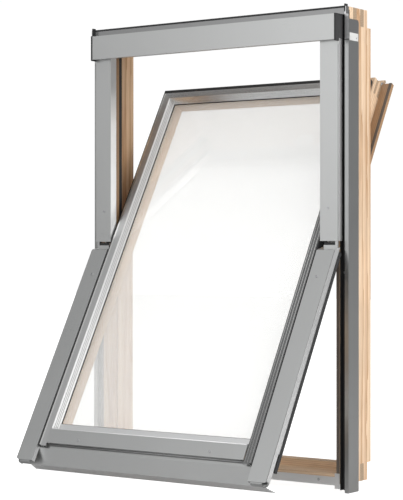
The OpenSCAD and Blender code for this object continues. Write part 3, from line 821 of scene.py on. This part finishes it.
class SKYLIGHT_OT_profile_ribs(bpy.types.Operator):
    """Adds the fine ribs that run along the bevel and the flat of the glazing profiles"""

    bl_idname = "skylight.profile_ribs"
    bl_label = "Profile ribs"

    BEVEL_SHARES = (0.3, 0.5, 0.7)
    BEVEL_FOOT, BEVEL_HEAD = 1.0 * MM, 0.5 * MM
    FLAT_SHARES = (0.2, 0.62, 1.1)
    FLAT_FOOT, FLAT_HEAD = 3.0 * MM, 1.0 * MM
    FLAT_SUNK = 0.25 * MM
    GLASS_STEP = 2.3 * MM

    def execute(self, context):
        radius = context.scene.skylight_sizes.rib_width / 2
        low, high = closed_box("glazing_profile_left", "glazing_profile_right")
        top = closed_box("glazing_profile_top")[1].z
        front = low.y
        # The bevel goes back from the flat to just in front of the glass.
        depth = closed_box("outer_pane")[0].y - self.GLASS_STEP - front
        outer = high.x - PROFILE_FLAT
        normal = Vector((depth, PROFILE_BEVEL)).normalized()
        bevel_ribs, flat_ribs = [], []
        for share in self.BEVEL_SHARES:
            back = PROFILE_BEVEL * share
            x, y = outer - back, front + depth * share
            ends = low.z + self.BEVEL_FOOT, top - PROFILE_FLAT - back - self.BEVEL_HEAD
            for side in (-1, 1):
                across = Vector((-side * PROFILE_BEVEL, depth, 0)).normalized()
                outward = Vector((-side * normal.x, -normal.y, 0))
                offsets = half_round(across, outward, radius)
                bevel_ribs.append(run(offsets, [(side * x, y, z) for z in ends]))
        for share in self.FLAT_SHARES:
            x, y = outer + PROFILE_FLAT * share, front + self.FLAT_SUNK
            ends = low.z + self.FLAT_FOOT, high.z - self.FLAT_HEAD
            offsets = half_round(SIDEWAYS, FORWARD, radius)
            flat_ribs.append(run(offsets, [(x, y, z) for z in ends]))
        light = join_meshes("profile_ribs_right", flat_ribs, "bare leaning", True)
        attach(light, "sash")
        # The dark bevel ribs paint the shade in the bevel's creases.
        ribs = join_meshes("glazing_ribs", bevel_ribs, "groove", True)
        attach(ribs, "sash")
        return {"FINISHED"}


class SKYLIGHT_OT_cover_beads(bpy.types.Operator):
    """Adds the thin bead along the outer edge of each side cover, whose dark tone paints the shade of a fine
    channel there
    """

    bl_idname = "skylight.cover_beads"
    bl_label = "Cover beads"

    INSET = 1.0 * MM
    SUNK = 0.15 * MM
    FOOT = 2.0 * MM
    UPPER_HEAD, LOWER_HEAD = 14.0 * MM, 26.0 * MM

    def execute(self, context):
        offsets = half_round(SIDEWAYS, FORWARD, context.scene.skylight_sizes.bead_radius)
        still = Matrix.Identity(4)
        for side, label in ((-1, "left"), (1, "right")):
            for level, body, box, turn, head in (
                ("upper", "frame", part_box, still, self.UPPER_HEAD),
                ("lower", "sash", closed_box, OPENED, self.LOWER_HEAD),
            ):
                low, high = box(f"{level}_cover_{label}")
                edge = high.x if side > 0 else low.x
                x, y = edge - side * self.INSET, low.y + self.SUNK
                ends = low.z + self.FOOT, high.z - head
                skin = run(offsets, [(x, y, z) for z in ends], turn)
                bead = mesh_object(f"cover_bead_{level}_{label}", *skin, "groove", True)
                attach(bead, body)
        return {"FINISHED"}


class SKYLIGHT_OT_stile_strips(bpy.types.Operator):
    """Adds a thin brown-grey strip over the front of each frame stile, darkening that face"""

    bl_idname = "skylight.stile_strips"
    bl_label = "Stile strips"

    THICK = 0.8 * MM
    NEAR, FAR = 0.3 * MM, 9.9 * MM
    FOOT, HEAD = 26.0 * MM, 30.0 * MM
    EDGE = 0.3 * MM

    def execute(self, context):
        for side, label in ((-1, "left"), (1, "right")):
            low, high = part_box(f"frame_stile_{label}")
            inner = low.x if side > 0 else high.x
            a, b = sorted((inner + side * self.NEAR, inner + side * self.FAR))
            ends = low.z + self.FOOT, closed_box(f"lower_cover_{label}")[1].z - self.HEAD
            front = low.y - self.THICK
            section = ((a, low.y), (b, low.y), (b, front), (a, front))
            rows = [[Vector((x, y, z)) for x, y in section] for z in ends]
            strip = mesh_object(f"stile_strip_{label}", *sweep(rows), "strip")
            soften(strip, self.EDGE)
            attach(strip, "frame")
        return {"FINISHED"}


class SKYLIGHT_OT_ridge_bead(bpy.types.Operator):
    """Adds a bright bead that paints the highlight on the bottom cover's top edge, and a dark bead that paints the
    shadow under its foot
    """

    bl_idname = "skylight.ridge_bead"
    bl_label = "Ridge painted light"

    # Name, height over the cover's foot, depth behind its front, radius, finish and slot.
    BEADS = (
        ("ridge_bead", 38.8 * MM, 0.3 * MM, 1.2 * MM, "bright", "bare_aluminium"),
        ("ridge_shadow_strip", -1.6 * MM, 10.2 * MM, 2.4 * MM, "groove", "black_rubber"),
    )
    END_GAP = 3.0 * MM

    def execute(self, context):
        low, high = closed_box("bottom_cover")
        ends = low.x + self.END_GAP, high.x - self.END_GAP
        for name, rise, step, radius, finish, slot in self.BEADS:
            offsets = half_round(UPWARD, FORWARD, radius)
            skin = run(offsets, [(x, low.y + step, low.z + rise) for x in ends])
            bead = mesh_object(name, *skin, finish, True)
            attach(bead, "sash")
        return {"FINISHED"}


class SKYLIGHT_OT_profile_edges(bpy.types.Operator):
    """Adds the outer lip of the side profiles and the bead that seals them to the glass"""

    bl_idname = "skylight.profile_edges"
    bl_label = "Profile edges"

    LIP_IN, LIP_OUT = 0.2 * MM, 5.0 * MM
    LIP_THICK, LIP_DROP = 1.2 * MM, 0.2 * MM
    LIP_FOOT, LIP_HEAD = 2.0 * MM, 0.5 * MM
    SEAL_WIDE, SEAL_DEEP = 1.7 * MM, 1.6 * MM

    def execute(self, context):
        low, high = closed_box("glazing_profile_left", "glazing_profile_right")
        self.lips(low, high)
        self.seal(high)
        return {"FINISHED"}

    def lips(self, low, high):
        """Thin lips that stand out past the side profiles."""
        back = low.y + self.LIP_THICK
        ends = low.z + self.LIP_FOOT, high.z - self.LIP_HEAD
        # The right lip carries the profile's painted shade.
        for side, label, finish in ((-1, "left", "bare leaning"), (1, "right", "coated leaning")):
            a, b = sorted((side * (high.x - self.LIP_IN), side * (high.x + self.LIP_OUT)))
            section = ((a, low.y), (b, low.y + self.LIP_DROP), (b, back), (a, back))
            rows = [[OPENED @ Vector((x, y, z)) for x, y in section] for z in ends]
            lip = mesh_object(f"profile_lip_{label}", *sweep(rows), finish)
            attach(lip, "sash")

    def seal(self, high):
        """A square bead round the glass, along the inner edges of the four profiles."""
        wide, deep = self.SEAL_WIDE, self.SEAL_DEEP
        pane = closed_box("outer_pane")[0].y
        foot = closed_box("glazing_profile_bottom")[1].z
        sight, head = high.x - PROFILE_WIDTH, high.z - PROFILE_WIDTH
        spans = [(side * (sight - wide / 2), (foot + wide, head), "z") for side in (-1, 1)]
        for mid in (head - wide / 2, foot + wide / 2):
            spans.append((mid, (wide - sight, sight - wide), "x"))
        parts = []
        for mid, ends, axis in spans:
            rows = []
            for far in ends:
                row = []
                for da, dy in ((-1, 0), (1, 0), (1, -1), (-1, -1)):
                    a, y = mid + da * wide / 2, pane + dy * deep
                    spot = Vector((a, y, far)) if axis == "z" else Vector((far, y, a))
                    row.append(OPENED @ spot)
                rows.append(row)
            parts.append(sweep(rows))
        bead = join_meshes("glass_bead", parts, "rubber")
        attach(bead, "sash")


class SKYLIGHT_OT_stage(bpy.types.Operator):
    """Sets up the camera, the lamps and the pale floor"""

    bl_idname = "skylight.stage"
    bl_label = "Stage"

    SENSOR, LENS, CLIP = 36.0, 120.27, 50.0
    CAMERA_PLACE = (2.5104, -3.6047, 0.5776)
    CAMERA_TURN = 35.8
    FLOOR_HALF, FLOOR_GAP = 14.0, 0.5 * MM
    # Name, place, aim, width, height and power of each lamp.
    LAMPS = (
        ("key", (3.1, 0.5, 0.8), (0.3, 0.0, 0.6), 0.9, 2.2, 56.0),
        ("front", (-1.2, -3.4, 1.0), (0.0, 0.0, 0.6), 1.6, 2.4, 3.0),
        ("top", (0.4, -0.6, 3.4), (0.0, 0.0, 0.8), 2.4, 2.4, 16.0),
    )
    # How bright the floor is as a light and to look at, and how much less through glass.
    FLOOR_LIGHT, FLOOR_SEEN, FLOOR_BEHIND_GLASS = 0.06, 0.95, -0.24
    # The room is brighter in front and above than at the back.
    BRIGHT_SIDE, BRIGHT_RANGE = (0.5, -0.8, 0.33), (0.2, 0.53)
    ROOM_DARK, ROOM_BRIGHT = 0.24, 1.2
    ROOM_SEEN, ROOM_BEHIND_GLASS = 1.02, 1.06

    def execute(self, context):
        scene = context.scene
        self.camera(scene)
        size, floor_z = self.FLOOR_HALF, CAD_BOX[0][2] - self.FLOOR_GAP
        floor = mesh_object(
            "floor",
            [(x * size, y * size, floor_z) for x, y in ((-1, -1), (1, -1), (1, 1), (-1, 1))],
            [(0, 1, 2, 3)],
            "rubber",
        )
        floor.data.materials[0] = self.floor_material()
        self.lamps(scene)
        self.world(scene)
        scene.view_settings.view_transform = "Standard"
        return {"FINISHED"}

    def camera(self, scene):
        """A long lens in front, to the right."""
        camera = bpy.data.cameras.new("camera")
        camera.sensor_width = self.SENSOR
        camera.lens = self.LENS
        camera.clip_end = self.CLIP
        holder = bpy.data.objects.new("camera", camera)
        holder.location = self.CAMERA_PLACE
        holder.rotation_euler = (math.radians(90.0), 0.0, math.radians(self.CAMERA_TURN))
        scene.collection.objects.link(holder)
        scene.camera = holder

    @staticmethod
    def seen(tree, x, y):
        """Whether a ray looks at something, directly or through glass, and the latter alone."""
        rays = add(tree, "ShaderNodeLightPath", x, y).outputs
        through = rays["Is Transmission Ray"]
        return maths(tree, x + 200, y, "MAXIMUM", rays["Is Camera Ray"], through), through

    def floor_material(self):
        """Plain pale floor that glows to look at, and lights the window only gently."""
        material, tree, shader = blank("studio floor")
        shader.inputs["Base Color"].default_value = rgba(grey(0.45))
        shader.inputs["Roughness"].default_value = 0.9
        shader.inputs["Emission Color"].default_value = rgba(grey(1.0))
        seen, through = self.seen(tree, -600, 0)
        glow = remap(tree, -200, 0, seen, self.FLOOR_LIGHT, self.FLOOR_SEEN)
        veil = maths(tree, 0, 0, "MULTIPLY_ADD", through, self.FLOOR_BEHIND_GLASS, glow)
        link(tree, veil, shader.inputs["Emission Strength"])
        return material

    def lamps(self, scene):
        """One broad lamp on the right, a weak one on the left, one above."""
        for name, place, aim, width, height, power in self.LAMPS:
            lamp = bpy.data.lights.new(name, "AREA")
            lamp.shape = "RECTANGLE"
            lamp.size = width
            lamp.size_y = height
            lamp.energy = power
            holder = bpy.data.objects.new(name, lamp)
            holder.location = place
            holder.rotation_euler = (
                (Vector(aim) - Vector(place)).to_track_quat("-Z", "Y").to_euler()
            )
            scene.collection.objects.link(holder)

    def world(self, scene):
        """White to look at, gentler as a light."""
        world = bpy.data.worlds.new("studio")
        scene.world = world
        world.use_nodes = True
        tree = world.node_tree
        tree.nodes.clear()
        seen, through = self.seen(tree, -400, 200)
        where = add(tree, "ShaderNodeTexCoord", -800, -100)
        toward = add(
            tree,
            "ShaderNodeVectorMath",
            -600,
            -100,
            (where.outputs["Generated"], self.BRIGHT_SIDE),
            operation="DOT_PRODUCT",
        ).outputs["Value"]
        glow = remap(
            tree, -400, -100, toward, self.ROOM_DARK, self.ROOM_BRIGHT, self.BRIGHT_RANGE
        )
        light = add(tree, "ShaderNodeBackground", 0, 100, Color=(0.99, 0.995, 1.0, 1.0))
        link(tree, glow, light.inputs["Strength"])
        # A shade whiter through the panes, which take a little light away.
        veil = remap(tree, -200, -300, through, self.ROOM_SEEN, self.ROOM_BEHIND_GLASS)
        shown = add(tree, "ShaderNodeBackground", 0, -100, Color=rgba(grey(1.0)))
        link(tree, veil, shown.inputs["Strength"])
        feeds = (seen, light.outputs[0], shown.outputs[0])
        mix = add(tree, "ShaderNodeMixShader", 200, 0, feeds)
        output = add(tree, "ShaderNodeOutputWorld", 400, 0)
        link(tree, mix.outputs[0], output.inputs["Surface"])


OPERATORS = (
    SKYLIGHT_OT_finishes,
    SKYLIGHT_OT_profile_ribs,
    SKYLIGHT_OT_cover_beads,
    SKYLIGHT_OT_stile_strips,
    SKYLIGHT_OT_ridge_bead,
    SKYLIGHT_OT_profile_edges,
    SKYLIGHT_OT_stage,
)


class SKYLIGHT_PT_panel(bpy.types.Panel):
    """Lists the sizes, the colours and the pieces"""

    bl_idname = "SKYLIGHT_PT_panel"
    bl_label = "Roof skylight"
    bl_space_type = "VIEW_3D"
    bl_region_type = "UI"
    bl_category = "Skylight"

    def draw(self, context):
        layout = self.layout
        for group in (context.scene.skylight_sizes, context.scene.skylight_colours):
            box = layout.box()
            for name in group.bl_rna.properties.keys():
                if name not in ("rna_type", "name"):
                    box.prop(group, name)
        for operator in OPERATORS:
            layout.operator(operator.bl_idname)


CLASSES = (SkylightSizes, SkylightColours, *OPERATORS, SKYLIGHT_PT_panel)


def register():
    for cls in CLASSES:
        bpy.utils.register_class(cls)
    bpy.types.Scene.skylight_sizes = bpy.props.PointerProperty(type=SkylightSizes)
    bpy.types.Scene.skylight_colours = bpy.props.PointerProperty(type=SkylightColours)


def unregister():
    del bpy.types.Scene.skylight_colours
    del bpy.types.Scene.skylight_sizes
    for cls in reversed(CLASSES):
        bpy.utils.unregister_class(cls)


def main():
    register()
    bpy.ops.skylight.finishes()
    bpy.ops.skylight.profile_ribs()
    bpy.ops.skylight.cover_beads()
    bpy.ops.skylight.stile_strips()
    bpy.ops.skylight.ridge_bead()
    bpy.ops.skylight.profile_edges()
    bpy.ops.skylight.stage()


if __name__ == "__main__":
    main()
